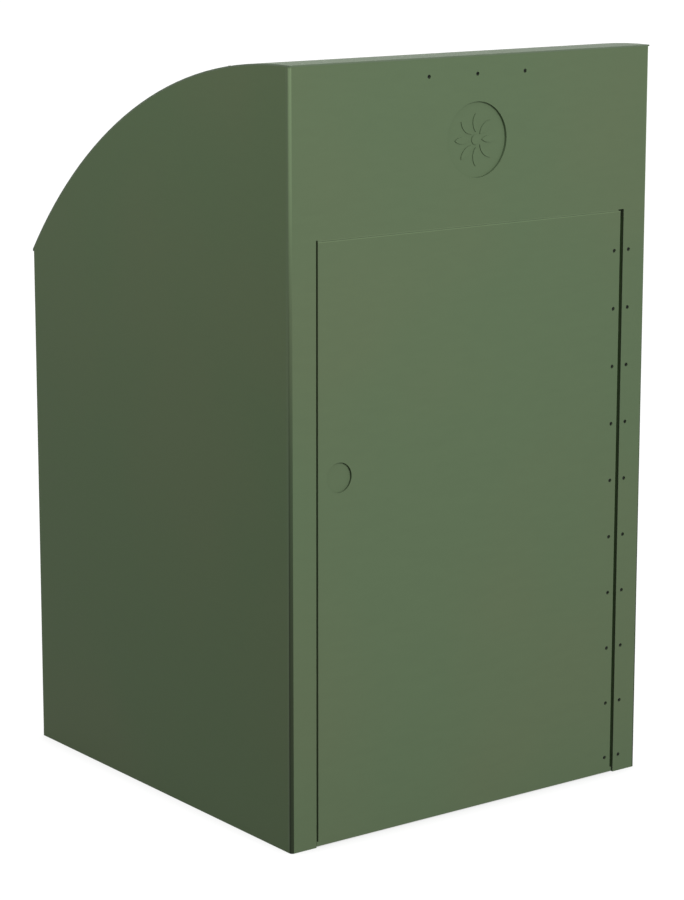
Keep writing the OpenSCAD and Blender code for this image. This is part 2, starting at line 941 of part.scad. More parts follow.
module hinge_pin() {
    color(steel) place()
        translate([hinge_x, pin_depth, hinge_low]) {
            cylinder(d = pin_d, h = hinge_high - hinge_low);
            translate([0, 0, hinge_high - hinge_low]) cylinder(d = pin_head_d, h = pin_head_h);
        }
}

module hinge_nuts(side) {
    for (z = hinge_rows)
        translate([hinge_x + side * hinge_bolt_offset, panel_t + leaf_t, z])
            facing_back() nut();
}

module hinge_bolts_jamb() {
    color(black) place() at_hinge_bolts(1) bolt(hinge_bolt_l);
}

module hinge_bolts_door() {
    color(black) place() at_hinge_bolts(-1) bolt(hinge_bolt_l);
}

module hinge_nuts_jamb() {
    color(zinc) place() hinge_nuts(1);
}

module hinge_nuts_door() {
    color(zinc) place() hinge_nuts(-1);
}

// Door

module pull_cut() {
    translate([0, 0, -cut]) cylinder(d = pull_d, h = pull_depth + cut, $fn = 96);
    translate([0, 0, pull_lip_t])
        cylinder(d = pull_d + 2 * pull_undercut, h = pull_depth - pull_lip_t, $fn = 96);
}

module door_panel() {
    color(green) place()
        difference() {
            union() {
                translate([door_l, 0, floor_gap])
                    cube([door_r - door_l, panel_t, door_top - floor_gap]);
                translate([left_jamb_w + door_foot_gap, 0, floor_gap])
                    cube([hinge_x - door_foot_clear - left_jamb_w - door_foot_gap, panel_t, door_foot_h]);
            }
            translate([door_l + pull_inset, 0, pull_z]) facing_back() pull_cut();
            at_hinge_bolts(-1) {
                bolt_seat();
                bolt_bore(panel_t);
            }
            door_rail_fixings(true);
            strike_fixings(true);
        }
}

module door_rail(z) {
    difference() {
        translate([door_rail_l, panel_t, z - door_rail_w / 2])
            cube([door_rail_r - door_rail_l, door_rail_t, door_rail_w]);
        door_rail_fixings(true);
    }
}

module door_rail_bottom() {
    color(inner_green) place() door_rail(door_rail_heights[0]);
}

module door_rail_middle() {
    color(inner_green) place() door_rail(door_rail_heights[1]);
}

module door_rail_top() {
    color(inner_green) place() door_rail(door_rail_heights[2]);
}

module door_rail_screws() {
    color(zinc) place() door_rail_fixings(false);
}

module catch_strikes() {
    color(steel) place()
        difference() {
            for (z = catch_heights)
                translate([stop_r, panel_t, z - strike_h / 2]) cube([catch_w, plate_t, strike_h]);
            strike_fixings(true);
        }
}

module strike_screws() {
    color(zinc) place() strike_fixings(false);
}

front_panel();
left_side_panel();
right_side_panel();
rear_panel();
roof_sheet();
front_left_post();
front_right_post();
rear_left_post();
rear_right_post();
header_batten();
left_roof_batten();
right_roof_batten();
eaves_batten();
left_door_stop();
top_door_stop();
left_anchor_rail();
right_anchor_rail();
rear_anchor_rail();
post_screws();
roof_batten_screws();
roof_screws();
eaves_batten_screws();
header_bolts_set();
stop_screws();
anchor_rail_screws();
door_buffers();
catch_housings();
catch_poles();
catch_screws();
hinge_leaf_jamb();
hinge_pin();
hinge_bolts_jamb();
hinge_nuts_jamb();
door_panel();
hinge_leaf_door();
hinge_bolts_door();
hinge_nuts_door();
door_rail_top();
door_rail_middle();
door_rail_bottom();
door_rail_screws();
catch_strikes();
strike_screws();
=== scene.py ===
# Tall plastic enclosure for a wheeled bin: satin green panels, bent sheet roof, full-height hinged door
# Lengths are in metres
import bpy
import bmesh
import json
import math
from mathutils import Matrix, Vector


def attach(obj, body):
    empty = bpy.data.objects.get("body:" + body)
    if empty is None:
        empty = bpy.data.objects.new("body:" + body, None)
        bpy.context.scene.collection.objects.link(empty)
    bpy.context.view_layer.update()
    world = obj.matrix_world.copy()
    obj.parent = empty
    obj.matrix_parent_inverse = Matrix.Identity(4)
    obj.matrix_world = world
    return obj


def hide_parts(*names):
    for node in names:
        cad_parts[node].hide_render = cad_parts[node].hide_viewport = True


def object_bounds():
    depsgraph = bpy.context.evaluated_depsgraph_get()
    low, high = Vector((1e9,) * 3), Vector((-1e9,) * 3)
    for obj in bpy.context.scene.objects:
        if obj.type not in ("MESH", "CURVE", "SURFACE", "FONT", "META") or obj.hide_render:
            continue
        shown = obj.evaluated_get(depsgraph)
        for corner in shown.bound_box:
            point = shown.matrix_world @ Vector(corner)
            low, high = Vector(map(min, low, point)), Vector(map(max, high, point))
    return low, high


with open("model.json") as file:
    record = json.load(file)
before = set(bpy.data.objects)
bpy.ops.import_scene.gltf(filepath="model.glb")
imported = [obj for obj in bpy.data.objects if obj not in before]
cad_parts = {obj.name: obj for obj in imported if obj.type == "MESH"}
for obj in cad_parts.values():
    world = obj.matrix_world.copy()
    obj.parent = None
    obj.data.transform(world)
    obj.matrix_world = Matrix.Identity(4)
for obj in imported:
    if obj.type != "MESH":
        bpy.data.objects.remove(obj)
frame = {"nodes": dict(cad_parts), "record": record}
cadBox = [list(corner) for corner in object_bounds()]
print("frame loaded:", len(frame["nodes"]), "nodes")


def topOf(node):
    solid = frame["nodes"][node]
    return max((solid.matrix_world @ Vector(corner)).z for corner in solid.bound_box)


# Faces and edges that the finishes start from
frontFace = cadBox[0][1]
halfWidth = cadBox[1][0]
crown = cadBox[1][2]
doorTop = topOf("door_panel")
pinX = frame["record"]["behaviour"]["joints"][0]["pos_m"][0]


# Camera: fitted to the cabinet's outer edges and corners
cameraSet = {
    "place": (-3.55254, -4.7951, 1.96781),
    "yaw": 37.1024,      # degrees to the right of +Y
    "pitch": -11.3669,
    "roll": 0.1249,
    "sensor": 36,        # mm, along the frame's height
    "lens": 114.916,
    "shift": (-0.021696, -0.051927),
}


def makeCamera(settings):
    yaw, pitch, roll = (math.radians(settings[key]) for key in ("yaw", "pitch", "roll"))
    ahead = Vector((math.sin(yaw) * math.cos(pitch), math.cos(yaw) * math.cos(pitch), math.sin(pitch)))
    data = bpy.data.cameras.new("camera")
    data.lens = settings["lens"]
    data.sensor_width = settings["sensor"]
    data.shift_x, data.shift_y = settings["shift"]
    camera = bpy.data.objects.new("camera", data)
    turn = ahead.to_track_quat("-Z", "Y").to_matrix() @ Matrix.Rotation(roll, 3, "Z")
    camera.matrix_world = Matrix.Translation(settings["place"]) @ turn.to_4x4()
    bpy.context.scene.collection.objects.link(camera)
    bpy.context.scene.camera = camera


makeCamera(cameraSet)
print("camera placed")


class Wire:  # a socket of a shader tree that takes part in sums
    def __init__(self, tree, socket=None):
        self.tree = tree
        self.socket = socket

    def node(self, kind, settings=None, inputs=None, out=0):
        made = self.tree.nodes.new("ShaderNode" + kind)
        for key, value in (settings or {}).items():
            if key == "stops":
                ramp = made.color_ramp.elements
                while len(ramp) < len(value):
                    ramp.new(1)
                for stop, (at, level) in zip(ramp, value):
                    stop.position = at
                    stop.color = (level, level, level, 1)
            else:
                setattr(made, key, value)
        for key, value in (inputs or {}).items():
            if isinstance(value, Wire):
                self.tree.links.new(value.socket, made.inputs[key])
            else:
                made.inputs[key].default_value = value
        return Wire(self.tree, made.outputs[out]) if made.outputs else None

    def math(self, operation, first, second=0.0):
        return self.node("Math", {"operation": operation}, {0: first, 1: second})

    def __add__(self, other):
        return self.math("ADD", self, other)

    def __radd__(self, other):
        return self.math("ADD", other, self)

    def __sub__(self, other):
        return self.math("SUBTRACT", self, other)

    def __rsub__(self, other):
        return self.math("SUBTRACT", other, self)

    def __mul__(self, other):
        return self.math("MULTIPLY", self, other)

    def __truediv__(self, other):
        return self.math("DIVIDE", self, other)

    def clamped(self):
        return self.node("Clamp", None, {0: self})

    def unsigned(self):
        return self.math("ABSOLUTE", self)

    def centred(self):  # noise runs from 0 to 1, this puts its middle at 0
        return self - 0.5

    def above(self, limit, blur):  # 0 up to the limit, 1 once it is past by the blur
        return ((self - limit) / blur).clamped()

    def below(self, limit, blur):  # 0 past the limit, 1 once it is short of it by the blur
        return ((limit - self) / blur).clamped()

    def axis(self, number):  # one part of a vector
        return self.node("SeparateXYZ", None, {0: self}, number)

    def times(self, factors):  # a vector times another, part by part
        return self.node("VectorMath", {"operation": "MULTIPLY"}, {0: self, 1: factors})

    def dimmed(self, level):  # a colour times a number
        return self.node("VectorMath", {"operation": "SCALE"}, {0: self, "Scale": level})

    def mixed(self, share, first, second):  # the first colour, turned towards the second by the share
        return self.node("Mix", {"data_type": "RGBA"}, {0: share, 6: first, 7: second}, 2)


def linear(colour):  # an 8-bit colour as the shaders want it
    parts = [part / 255 for part in colour]
    return tuple(part / 12.92 if part <= 0.04045 else ((part + 0.055) / 1.055) ** 2.4
                 for part in parts) + (1,)


def makeFinish(name, recipe, settings):
    material = bpy.data.materials.new(name)
    material.use_nodes = True
    tree = material.node_tree
    tree.nodes.clear()
    start = Wire(tree)
    surface = start.node("BsdfPrincipled", None, recipe(start, settings))
    start.node("OutputMaterial", None, {"Surface": surface})
    return material


def placeOn(start):
    return start.node("TexCoord", None, None, "Object")


def facing(start):  # the way that a face looks
    return start.node("NewGeometry", None, None, "Normal")


def noise(start, vector, size, detail=3, roughness=0.5):  # size is that of one blotch, in metres
    return start.node("TexNoise", None, {
        "Vector": vector, "Scale": 1 / size, "Detail": detail, "Roughness": roughness})


def softEdges(start, radius, blur=0.125):  # the rounded normal, and a mask that is 1 on the edges
    rounded = start.node("Bevel", {"samples": 6}, {"Radius": radius})
    same = start.node("VectorMath", {"operation": "DOT_PRODUCT"}, {0: rounded, 1: facing(start)}, "Value")
    return rounded, same.below(1, blur)


def bumped(start, height, depth, normal):
    return start.node("Bump", None, {"Strength": 1.0, "Distance": depth, "Height": height, "Normal": normal})


# Satin green sheet, coloured right through
panelSet = {
    "green": (91, 108, 81),
    "warm": (104, 105, 81),      # what the large patches lean towards
    "patchSize": 0.55,
    "patchFrom": 0.42,
    "patchBlur": 0.2,
    "patchShare": 0.16,
    "streakSize": 0.045,
    "streakLift": 3.4,           # how much flatter than long the streaks are
    "streakTone": 0.055,
    "streakRough": 0.12,
    "rippleSize": 0.018,
    "rippleDepth": 0.00004,
    "grainSize": 0.0012,
    "grainDepth": 0.00003,
    "grainTone": 0.05,
    "grainRough": 0.1,
    "roughness": 0.46,
    "specular": 0.07,
    "edgeRadius": 0.0007,
    "edgeWear": (128, 142, 118),
    "wearSize": 0.03,
    "wearFrom": 0.35,
    "wearBlur": 0.4545,
    "wearShare": 0.5,
}


def panelRecipe(start, settings):
    place = placeOn(start)
    rounded, edge = softEdges(start, settings["edgeRadius"])
    flatter = place.times((1, 1, settings["streakLift"]))
    patches = noise(start, place, settings["patchSize"], 2)
    streaks = noise(start, flatter, settings["streakSize"], 2, 0.45)
    ripple = noise(start, place, settings["rippleSize"], 2)
    grain = noise(start, place, settings["grainSize"], 2)
    warmth = patches.above(settings["patchFrom"], settings["patchBlur"]) * settings["patchShare"]
    green = start.mixed(warmth, linear(settings["green"]), linear(settings["warm"]))
    tone = 1 + streaks.centred() * settings["streakTone"] + grain.centred() * settings["grainTone"]
    # painted light and shade where the settings ask for it: the front's roundings, the hinge slot's walls,
    # the door's top edge
    if "corner" in settings:
        tone = tone * cornerPaintedLight(start, place, settings["corner"])
    if "slot" in settings:
        tone = tone * slotPaintedShadeTone(start, place, settings["slot"])
    if "topEdge" in settings:
        tone = tone * edgePaintedHighlight(place, settings["topEdge"])
    scuffs = noise(start, place, settings["wearSize"]).above(settings["wearFrom"], settings["wearBlur"])
    worn = edge * scuffs * settings["wearShare"]
    roughness = settings["roughness"] + streaks.centred() * settings["streakRough"]
    wavy = bumped(start, ripple, settings["rippleDepth"], rounded)
    return {
        "Base Color": start.mixed(worn, green.dimmed(tone), linear(settings["edgeWear"])),
        "Roughness": roughness + grain.centred() * settings["grainRough"],
        "Specular IOR Level": settings["specular"],
        "Normal": bumped(start, grain, settings["grainDepth"], wavy),
    }


# The front's rounded upright edges: a painted highlight at the top and painted shade towards the ground, for
# the light that the roundings catch
frontCornerPaintedLight = {
    "start": halfWidth - 0.0064,     # half the width between the roundings, at the foot
    "narrowing": 0.0016,             # of that half, from the foot to the top
    "behind": frontFace + 0.006,
    "blur": 0.0005,
    "height": crown,
    "tones": [(0, 0.24), (0.3, 0.33), (0.5, 0.5), (0.7, 0.86), (0.85, 1.3), (1, 1.5)],
    "brightest": 2,                  # the tone that the ramp's 1 stands for
    "line": frontFace + 0.0058,      # dark line where the rounding starts on the side
    "lineWidth": 0.0016,
    "lineShade": 0.45,
    "lineTop": 1.15,
    "lineFade": 1.0,
}


def cornerPaintedLight(start, place, settings):
    x, y, z = (place.axis(part) for part in range(3))
    share = z / settings["height"]
    across = (x.unsigned() - share * settings["narrowing"]).above(settings["start"], settings["blur"])
    inFront = y.below(settings["behind"], settings["blur"])
    # painted light and shade: the ramp over the height lightens the roundings at the top and darkens them
    # lower down
    stops = [(at, tone / settings["brightest"]) for at, tone in settings["tones"]]
    tone = start.node("ValToRGB", {"stops": stops}, {0: share}) * settings["brightest"]
    line = (y - settings["line"]).unsigned().below(settings["lineWidth"], settings["lineWidth"])
    line = line * z.below(settings["lineTop"], settings["lineFade"])
    return 1 + across * (inFront * (tone - 1) - line * settings["lineShade"])


# The walls of the slot over the hinge and of the bolt seats beside it, darkened with painted shade
slotPaintedShade = {
    "face": frontFace + 0.0005,
    "faceBlur": 0.0002,
    "from": pinX - 0.0145,
    "to": pinX + 0.0585,
    "blur": 0.002,
    "turned": 0.5,       # how far a face looks sideways before it counts as a wall
    "shade": 0.5,
}


def slotPaintedShadeTone(start, place, settings):
    x, y = (place.axis(part) for part in range(2))
    along = x.above(settings["from"], settings["blur"]) * x.below(settings["to"], settings["blur"])
    inside = y.above(settings["face"], settings["faceBlur"]) * along
    wall = facing(start).axis(0).unsigned().above(settings["turned"], 1 - settings["turned"])
    # painted shade on the walls that face sideways inside the slot
    return 1 - inside * wall * settings["shade"]


# The door's top edge and the rain lip over it, lightened with a painted highlight
doorTopPaintedHighlight = {"from": doorTop - 0.0024, "blur": 0.001, "lift": 0.3}
lipPaintedHighlight = {"from": doorTop + 0.0002, "blur": 0.0004, "lift": 0.16}


def edgePaintedHighlight(place, settings):
    # painted highlight: lighter above the given height
    return 1 + place.axis(2).above(settings["from"], settings["blur"]) * settings["lift"]


# Powder-coated sheet of the roof
roofSet = {
    "green": (91, 105, 84),
    "dusty": (112, 122, 104),
    "cloudSize": 0.16,
    "cloudTone": 0.08,
    "cloudDust": 0.6,
    "runSize": 0.012,
    "runDust": 0.5,
    "runLength": 0.12,           # how the runs are squeezed, so that they follow the curve
    "dustFrom": 0.38,
    "dustBlur": 0.3333,
    "dustShare": 0.2,
    "dustRough": 0.5,
    "peelSize": 0.0035,
    "peelDepth": 0.00005,
    "peelRough": 0.08,
    "roughness": 0.52,
    "specular": 0.26,
    "edgeRadius": 0.0008,
    "bare": (120, 126, 116),
    "wearSize": 0.02,
    "wearFrom": 0.4,
    "wearBlur": 0.3333,
    "wearShare": 0.6,
}


def roofRecipe(start, settings):
    place = placeOn(start)
    rounded, edge = softEdges(start, settings["edgeRadius"])
    up = facing(start).axis(2).clamped()
    cloud = noise(start, place, settings["cloudSize"], 4, 0.6)
    runs = noise(start, place.times((1, settings["runLength"], settings["runLength"])), settings["runSize"])
    peel = noise(start, place, settings["peelSize"], 2)
    laden = cloud * settings["cloudDust"] + runs * settings["runDust"]
    dust = up * laden.above(settings["dustFrom"], settings["dustBlur"]) * settings["dustShare"]
    green = start.mixed(dust, linear(settings["green"]), linear(settings["dusty"]))
    scuffs = noise(start, place, settings["wearSize"]).above(settings["wearFrom"], settings["wearBlur"])
    worn = edge * scuffs * settings["wearShare"]
    coat = green.dimmed(1 + cloud.centred() * settings["cloudTone"])
    roughness = settings["roughness"] + dust * settings["dustRough"]
    return {
        "Base Color": start.mixed(worn, coat, linear(settings["bare"])),
        "Roughness": roughness + peel.centred() * settings["peelRough"],
        "Specular IOR Level": settings["specular"],
        "Normal": bumped(start, peel, settings["peelDepth"], rounded),
    }


# Sawn recycled-plastic battens; along is the way that they are sawn
battenSet = {
    "green": (76, 92, 69),
    "light": (104, 116, 94),
    "dark": 0.86,                # tone between the fibres
    "fibreSize": 0.0035,
    "fibreTone": 0.28,
    "fibreRough": 0.2,
    "stretch": 14,
    "sawDepth": 0.00025,
    "mottleSize": 0.09,
    "mottleTone": 0.22,
    "fleckSize": 0.0022,
    "fleckFrom": 0.68,
    "fleckBlur": 0.1111,
    "fleckShare": 0.6,
    "edgeShare": 0.35,
    "roughness": 0.72,
    "specular": 0.3,
    "edgeRadius": 0.0012,
}


def battenRecipe(start, settings):
    place = placeOn(start)
    rounded, edge = softEdges(start, settings["edgeRadius"])
    squeeze = [1 / settings["stretch"] if part == settings["along"] else 1 for part in range(3)]
    fibres = noise(start, place.times(tuple(squeeze)), settings["fibreSize"], 4, 0.65)
    flecks = noise(start, place, settings["fleckSize"], 1).above(settings["fleckFrom"], settings["fleckBlur"])
    mottle = noise(start, place, settings["mottleSize"])
    tone = settings["dark"] + fibres * settings["fibreTone"] + mottle.centred() * settings["mottleTone"]
    share = (flecks * settings["fleckShare"] + edge * mottle * settings["edgeShare"]).clamped()
    green = start.mixed(share, linear(settings["green"]), linear(settings["light"]))
    return {
        "Base Color": green.dimmed(tone),
        "Roughness": settings["roughness"] + fibres.centred() * settings["fibreRough"],
        "Specular IOR Level": settings["specular"],
        "Normal": bumped(start, fibres, settings["sawDepth"], rounded),
    }


# Hot-dip galvanised angle, with its spangle
galvanisedSet = {
    "light": (196, 199, 202),
    "dark": (150, 154, 158),
    "spangle": 0.011,
    "spangleShare": 0.8,
    "spangleRough": 0.22,
    "spangleDepth": 0.00004,
    "wobble": 0.008,
    "wobbleSize": 0.02,
    "stainSize": 0.05,
    "stainFrom": 0.5,
    "stainBlur": 0.3333,
    "stainShare": 0.3,
    "stainRough": 0.1,
    "metallic": 0.9,
    "roughness": 0.42,
    "edgeRadius": 0.0008,
}


def galvanisedRecipe(start, settings):
    place = placeOn(start)
    rounded = softEdges(start, settings["edgeRadius"])[0]
    wobble = noise(start, place, settings["wobbleSize"], 2) * settings["wobble"]
    moved = start.node("VectorMath", {"operation": "ADD"}, {0: place, 1: wobble})
    crystals = start.node("TexVoronoi", None, {"Vector": moved, "Scale": 1 / settings["spangle"]}, "Color")
    level = crystals.axis(0)
    clouds = noise(start, place, settings["stainSize"], 4, 0.6)
    stain = clouds.above(settings["stainFrom"], settings["stainBlur"])
    share = (level * settings["spangleShare"] + stain * settings["stainShare"]).clamped()
    roughness = settings["roughness"] + level.centred() * settings["spangleRough"]
    return {
        "Base Color": start.mixed(share, linear(settings["light"]), linear(settings["dark"])),
        "Metallic": settings["metallic"],
        "Roughness": roughness + stain * settings["stainRough"],
        "Normal": bumped(start, level, settings["spangleDepth"], rounded),
    }


# Small metal parts: what they share, then zinc-plated, blackened, powder-coated and bare ones
metalSet = {
    "cloudSize": 0.006,
    "cloudRough": 0.25,
    "wornFrom": 0.56,
    "wornBlur": 0.2,
    "wornShare": 0.5,
    "brushSize": 0.0008,
    "brushLength": 0.08,         # how the brushing is squeezed along Z
    "brushTone": 0.12,
    "brushDepth": 0.00001,
    "dark": 0.94,                # tone between the brushing
    "metallic": 1.0,
    "specular": 0.5,
    "edgeRadius": 0.0003,
}
zincSet = {**metalSet, "colour": (186, 188, 186), "worn": (150, 148, 138), "roughness": 0.34}
steelSet = {**metalSet, "colour": (142, 144, 146), "worn": (112, 102, 92), "roughness": 0.38}
blackBoltSet = {**metalSet, "colour": (38, 42, 37), "worn": (92, 92, 88), "roughness": 0.48, "metallic": 0.6}
hingeSet = {
    **metalSet,
    "colour": (25, 37, 18),
    "worn": (46, 58, 38),
    "roughness": 0.6,
    "metallic": 0.0,
    "specular": 0.05,
    "edgeRadius": 0.0004,
}


def metalRecipe(start, settings):
    place = placeOn(start)
    rounded, edge = softEdges(start, settings["edgeRadius"])
    cloud = noise(start, place, settings["cloudSize"], 4, 0.6)
    brushed = noise(start, place.times((1, 1, settings["brushLength"])), settings["brushSize"], 2)
    patches = cloud.above(settings["wornFrom"], settings["wornBlur"]) * settings["wornShare"]
    share = (patches + edge * cloud).clamped()
    colour = start.mixed(share, linear(settings["colour"]), linear(settings["worn"]))
    return {
        "Base Color": colour.dimmed(settings["dark"] + brushed * settings["brushTone"]),
        "Metallic": settings["metallic"],
        "Roughness": settings["roughness"] + cloud.centred() * settings["cloudRough"],
        "Specular IOR Level": settings["specular"],
        "Normal": bumped(start, brushed, settings["brushDepth"], rounded),
    }


# Black mouldings and rubber
mouldingSet = {
    "colour": (30, 31, 30),
    "light": (54, 55, 53),
    "cloudSize": 0.01,
    "cloudShare": 0.35,
    "edgeShare": 0.4,
    "grainSize": 0.0009,
    "grainDepth": 0.00003,
    "grainRough": 0.2,
    "roughness": 0.5,
    "specular": 0.4,
    "edgeRadius": 0.0005,
}
rubberSet = {
    **mouldingSet,
    "colour": (26, 26, 26),
    "light": (52, 50, 48),
    "grainSize": 0.0006,
    "grainDepth": 0.00004,
    "roughness": 0.8,
}


def mouldingRecipe(start, settings):
    place = placeOn(start)
    rounded, edge = softEdges(start, settings["edgeRadius"])
    grain = noise(start, place, settings["grainSize"], 2)
    cloud = noise(start, place, settings["cloudSize"])
    share = (cloud * settings["cloudShare"] + edge * settings["edgeShare"]).clamped()
    return {
        "Base Color": start.mixed(share, linear(settings["colour"]), linear(settings["light"])),
        "Roughness": settings["roughness"] + grain.centred() * settings["grainRough"],
        "Specular IOR Level": settings["specular"],
        "Normal": bumped(start, grain, settings["grainDepth"], rounded),
    }


# What the panels' finish takes on in some places: painted light and shade on the front's roundings, the hinge
# slot and the door's top, and on the side walls a darker, less blue green as painted shade
# painted shade: the side walls' green, darker and less blue than the rest
sidePaintedShadeSet = {**panelSet, "green": (88, 106, 76)}
frontSet = {**panelSet, "corner": frontCornerPaintedLight, "slot": slotPaintedShade, "edgeRadius": 0.0004}
doorSet = {**panelSet, "slot": slotPaintedShade, "topEdge": doorTopPaintedHighlight}
lipSet = {**panelSet, "topEdge": lipPaintedHighlight}

panel = makeFinish("satinGreen", panelRecipe, panelSet)
side = makeFinish("satinGreenSide", panelRecipe, sidePaintedShadeSet)
front = makeFinish("satinGreenFront", panelRecipe, frontSet)
door = makeFinish("satinGreenDoor", panelRecipe, doorSet)
lip = makeFinish("satinGreenLip", panelRecipe, lipSet)
roof = makeFinish("powderCoatGreen", roofRecipe, roofSet)
sawnAcross, sawnDeep, sawnUp = [makeFinish("sawnGreen" + way, battenRecipe, {**battenSet, "along": part})
                                for part, way in enumerate(("Across", "Deep", "Up"))]
galvanised = makeFinish("galvanised", galvanisedRecipe, galvanisedSet)
zinc = makeFinish("zincPlate", metalRecipe, zincSet)
blackBolt = makeFinish("blackenedSteel", metalRecipe, blackBoltSet)
hinge = makeFinish("darkPowderCoat", metalRecipe, hingeSet)
steel = makeFinish("bareSteel", metalRecipe, steelSet)
moulding = makeFinish("blackMoulding", mouldingRecipe, mouldingSet)
rubber = makeFinish("rubber", mouldingRecipe, rubberSet)
print("finishes made:", len(bpy.data.materials))

# A finish for each material slot of the record, and other ones for single pieces
slotFinishes = {
    "panel": panel, "roof": roof, "galvanised": galvanised, "screw": zinc, "dark_bolt": blackBolt,
    "hinge": hinge, "plate": steel, "catch_plastic": moulding, "rubber": rubber, "batten": sawnAcross,
}
nodeFinishes = {
    "front_panel": front, "left_side_panel": side, "right_side_panel": side,
    "door_panel": door, "top_door_stop": lip, "hinge_pin": hinge,
    "front_left_post": sawnUp, "front_right_post": sawnUp,
    "rear_left_post": sawnUp, "rear_right_post": sawnUp,
    "left_roof_batten": sawnDeep, "right_roof_batten": sawnDeep,
}
slotOf = {part["node"]: part["material_slot"] for part in frame["record"]["subparts"]}
bodyOf = {node: body for body, nodes in frame["record"]["behaviour"]["bodies"].items() for node in nodes}
finishOf = {node: nodeFinishes.get(node, slotFinishes[slot]) for node, slot in slotOf.items()}
for node, finish in finishOf.items():
    for slot in frame["nodes"][node].material_slots:
        slot.material = finish
print("nodes dressed")


# Finer forms of the small pieces and the battens, cut from merged copies of the solids
copySet = {"merge": 0.000002, "flat": 0.3}  # metres, and degrees between faces that count as one


def copyOf(node):
    solid = frame["nodes"][node]
    form = bmesh.new()
    form.from_mesh(solid.data)
    form.transform(solid.matrix_world)
    bmesh.ops.remove_doubles(form, verts=form.verts, dist=copySet["merge"])
    bmesh.ops.dissolve_limit(form, angle_limit=math.radians(copySet["flat"]), verts=form.verts,
                             edges=form.edges)
    return form


def standIn(node, form):
    mesh = bpy.data.meshes.new("fine_" + node)
    bmesh.ops.recalc_face_normals(form, faces=form.faces)
    for face in form.faces:
        face.smooth = False
    form.to_mesh(mesh)
    form.free()
    mesh.materials.append(finishOf[node])
    piece = bpy.data.objects.new(mesh.name, mesh)
    bpy.context.scene.collection.objects.link(piece)
    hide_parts(node)
    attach(piece, bodyOf[node])


def roundOff(form, edges, radius, segments):
    bmesh.ops.bevel(form, geom=edges, offset=radius, offset_type="OFFSET", affect="EDGES", segments=segments,
                    profile=0.5, material=-1, clamp_overlap=True)


def sharp(edge):  # an outer edge where two faces meet at 40 degrees or more
    return edge.is_manifold and edge.is_convex and edge.calc_face_angle() > math.radians(40)


def sharpBetween(form, points):
    chosen = set(points)
    return [edge for edge in form.edges if chosen.issuperset(edge.verts) and sharp(edge)]


def middleOf(points):
    return sum((vert.co for vert in points), Vector()) / len(points)


def islands(form):  # the separate solids, as lists of points
    seen = set()
    found = []
    for first in form.verts:
        if first in seen:
            continue
        seen.add(first)
        grown = [first]
        for vert in grown:
            for edge in vert.link_edges:
                near = edge.other_vert(vert)
                if near not in seen:
                    seen.add(near)
                    grown.append(near)
        found.append(grown)
    return found


# Sawn, moulded and folded lengths: the radius of their long edges
roundedLengths = {
    "segments": 3,
    "shortest": 0.008,
    "radii": {
        0.0015: ["front_left_post", "front_right_post", "rear_left_post", "rear_right_post", "header_batten",
                 "eaves_batten", "door_rail_top", "door_rail_middle", "door_rail_bottom"],
        0.001: ["left_door_stop", "left_roof_batten", "right_roof_batten"],
        0.0012: ["left_anchor_rail", "right_anchor_rail", "rear_anchor_rail"],
        0.002: ["catch_housings"],
        0.0005: ["catch_strikes"],
    },
}


def makeLengths(settings):
    for radius, nodes in settings["radii"].items():
        for node in nodes:
            form = copyOf(node)
            edges = [edge for edge in form.edges if sharp(edge) and edge.calc_length() > settings["shortest"]]
            roundOff(form, edges, radius, settings["segments"])
            standIn(node, form)


# Turned heads, domed over their free rim: how far the dome comes in
domedHeads = {
    "segments": 4,
    "rimDepth": 0.25,     # the rim's points lie this close to the top and this far out, by the head's radius
    "rimWidth": 0.7,
    "domes": {
        0.0014: ["post_screws", "roof_batten_screws", "roof_screws", "eaves_batten_screws", "stop_screws",
                 "anchor_rail_screws", "door_rail_screws"],
        0.0009: ["catch_screws", "strike_screws"],
        0.0006: ["header_bolts_set", "hinge_bolts_jamb", "hinge_bolts_door"],
    },
}


def freeRim(points, settings):  # the outermost points at the end of a solid that lies furthest from its tip
    middle = middleOf(points)
    tip = max(points, key=lambda vert: (vert.co - middle).length).co.copy()
    along = (middle - tip).normalized()
    height = {vert: (vert.co - tip).dot(along) for vert in points}
    out = {vert: (vert.co - tip - along * height[vert]).length for vert in points}
    radius = max(out.values())
    low = max(height.values()) - radius * settings["rimDepth"]
    return [vert for vert in points if height[vert] > low and out[vert] > radius * settings["rimWidth"]]


def makeHeads(settings):
    for dome, nodes in settings["domes"].items():
        for node in nodes:
            form = copyOf(node)
            rims = [vert for points in islands(form) for vert in freeRim(points, settings)]
            roundOff(form, sharpBetween(form, rims), dome, settings["segments"])
            standIn(node, form)


# Lock nuts of the hinge: each hexagon is shortened, and a tapered collar stands on it
lockNuts = {
    "nodes": ["hinge_nuts_jamb", "hinge_nuts_door"],
    "collar": 0.0015,
    "collarRadius": 0.0032,
    "collarSides": 28,
    "taper": 0.93,
    "chamfer": 0.0004,
    "segments": 2,
    "shortest": 0.003,
}


def addCollar(form, end, settings):  # round the nut's end, half of it inside the hexagon
    collar = bmesh.ops.create_cone(
        form, cap_ends=True, segments=settings["collarSides"], radius1=settings["collarRadius"],
        radius2=settings["collarRadius"] * settings["taper"], depth=settings["collar"] * 2,
        matrix=Matrix.Translation(end) @ Matrix.Rotation(-math.pi / 2, 4, "X"))
    outer = [vert for vert in collar["verts"] if vert.co.y > end.y]
    roundOff(form, sharpBetween(form, outer), settings["chamfer"], settings["segments"])


